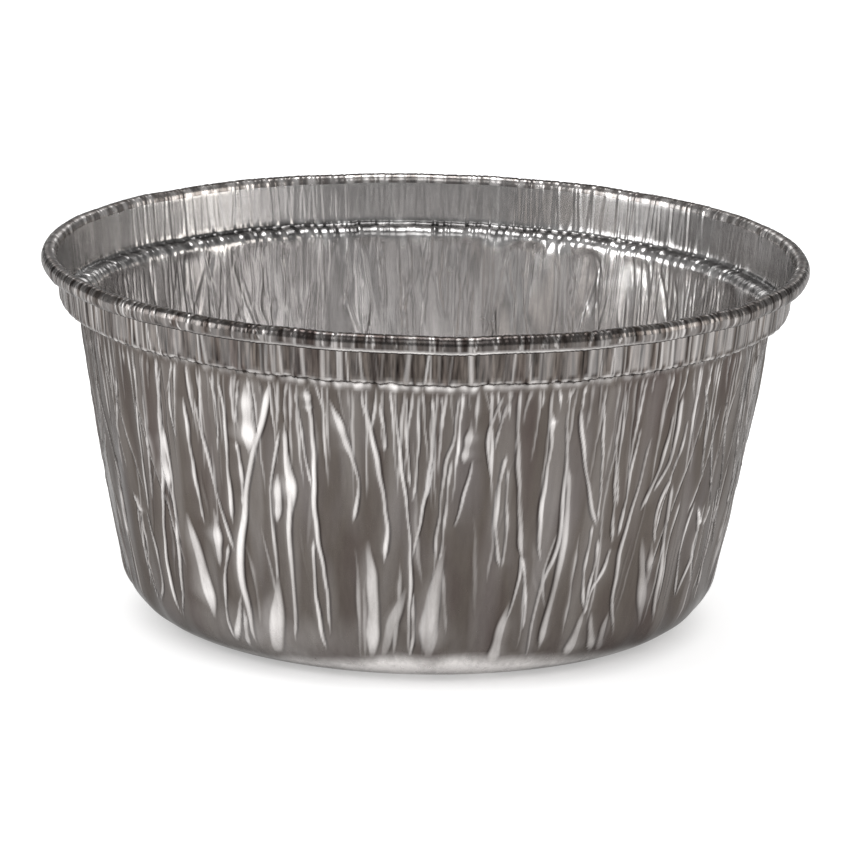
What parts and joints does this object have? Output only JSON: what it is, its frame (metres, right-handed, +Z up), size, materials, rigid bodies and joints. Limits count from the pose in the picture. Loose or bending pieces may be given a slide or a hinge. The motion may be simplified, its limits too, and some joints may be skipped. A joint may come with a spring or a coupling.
{
  "type": "foil baking cup",
  "caption": "Round pressed-foil baking cup with a pleated tapered wall, rounded heel, stacking shoulder, short collar and outward-curled rim bead.",
  "frame": {"origin": "centre of the flat base, on the surface that the cup stands on", "axes": "+Z up along the cup's axis, -Y towards the viewer of the picture"},
  "size_m": [0.084, 0.084, 0.0405],
  "materials": {
    "bare_foil": "bright rolled foil, wrinkled"
  },
  "bodies": {
    "root": {"base_panel": "bare_foil", "heel_bend": "bare_foil", "side_wall": "bare_foil", "stacking_shoulder": "bare_foil", "lid_collar": "bare_foil", "rim_curl": "bare_foil"}
  },
  "joints": []
}
